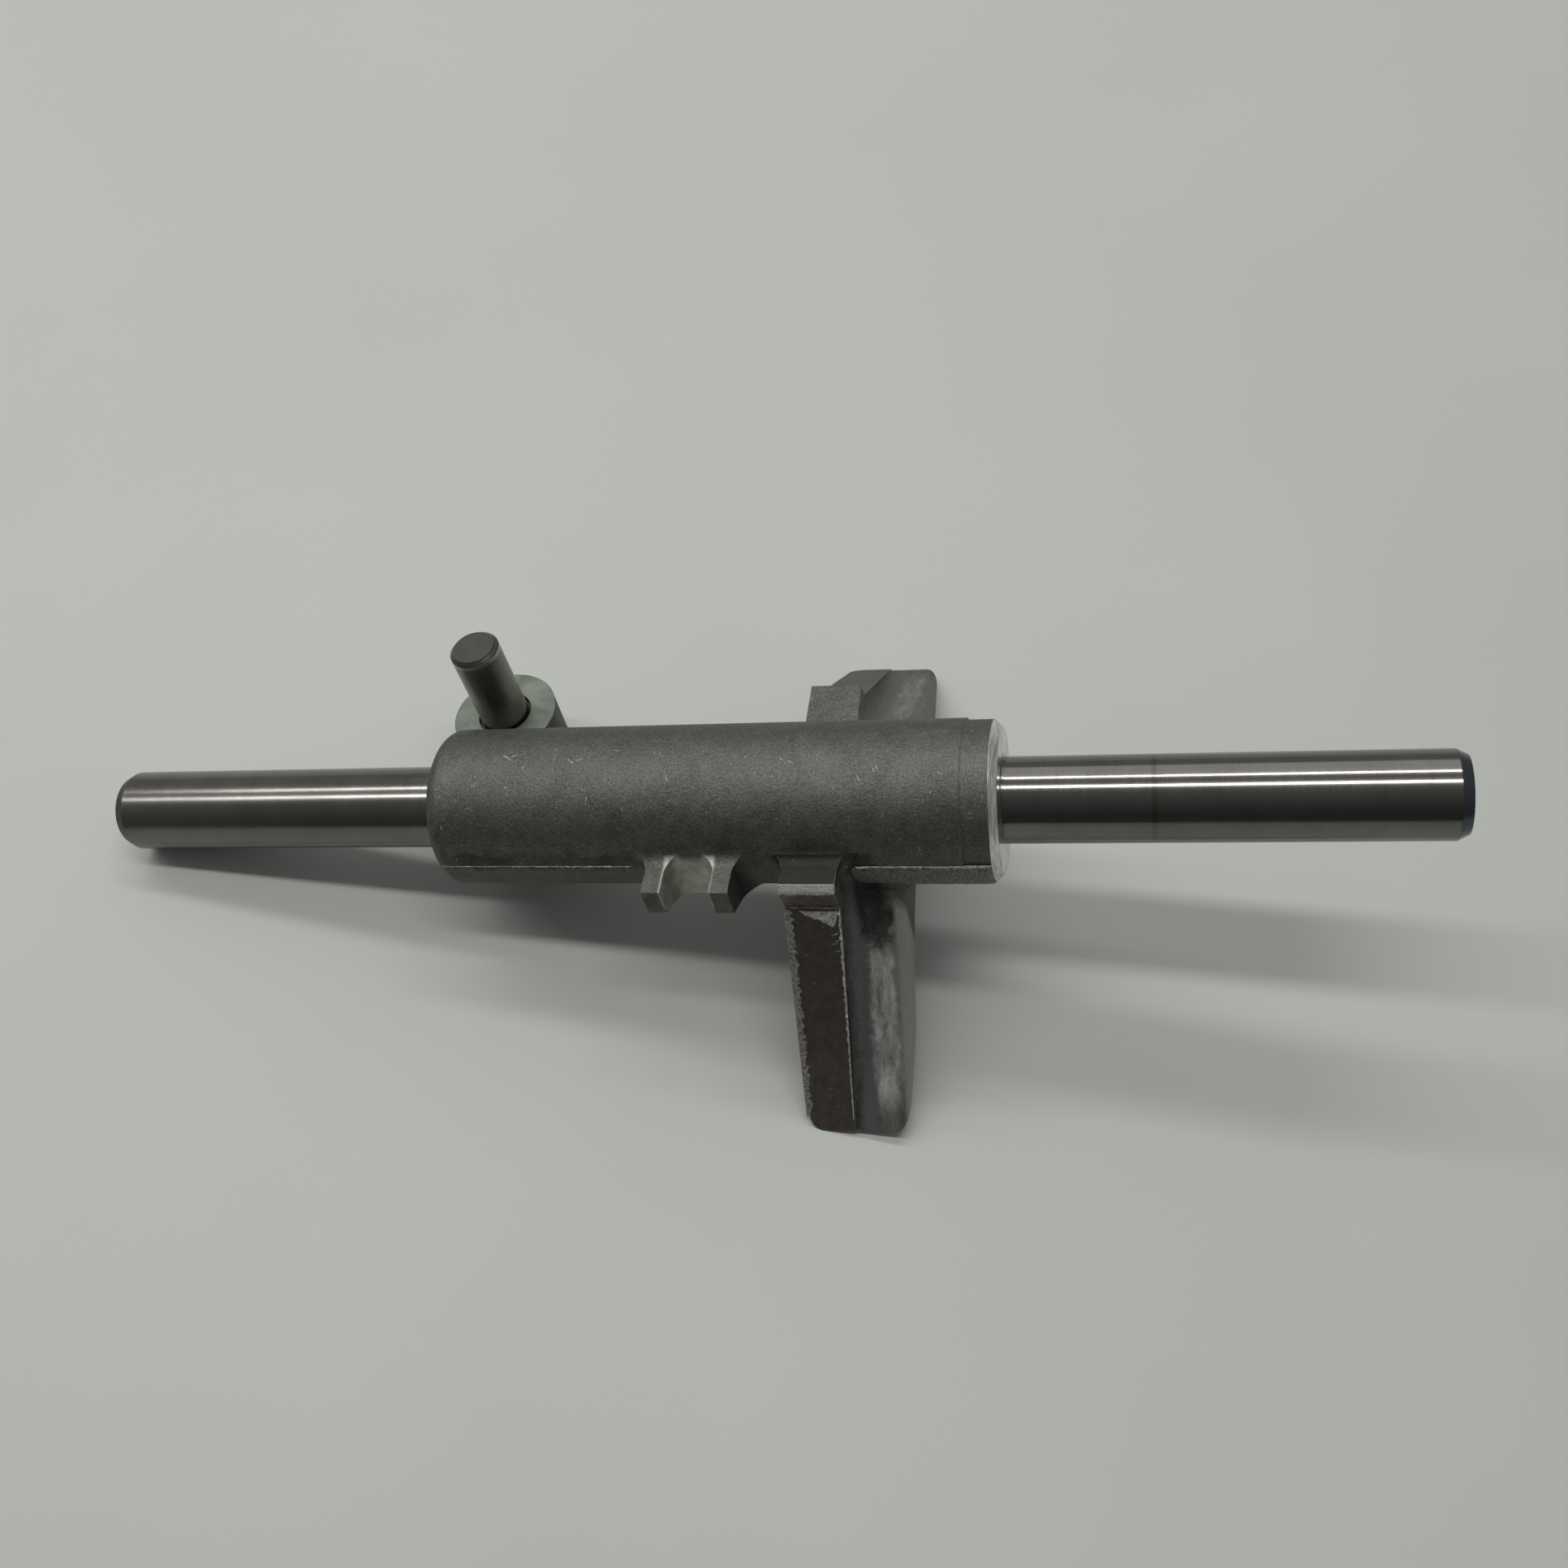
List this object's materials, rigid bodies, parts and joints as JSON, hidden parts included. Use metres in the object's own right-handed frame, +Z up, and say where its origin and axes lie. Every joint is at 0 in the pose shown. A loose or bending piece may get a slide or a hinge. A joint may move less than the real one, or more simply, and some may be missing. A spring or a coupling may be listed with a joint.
{
  "type": "transmission inner fork",
  "caption": "Die-cast gearbox shift fork with a notched rib and a lug with a guide pin, sliding on a straight ground rail.",
  "frame": {"origin": "on the ground, under the middle of the part's box as it lies on the rail's pin end and both prong tips", "axes": "+X along the rail as seen from above, from its pin end to its far end, which stands higher; +Y away from the notched rib; +Z up"},
  "size_m": [0.2248, 0.0914, 0.0584],
  "materials": {
    "cast_aluminium": "die-cast, matte",
    "ground_steel": "ground, bright",
    "pin_steel": "hardened, satin"
  },
  "bodies": {
    "rail": {"fork_shaft": "ground_steel"},
    "fork": {"shift_fork": "cast_aluminium", "guide_pin": "pin_steel"}
  },
  "joints": [
    {"name": "fork_slide", "type": "slide", "parent": "rail", "child": "fork", "axis": [0.9798, 0, 0.1998], "range_m": [-0.012, 0.024]}
  ]
}
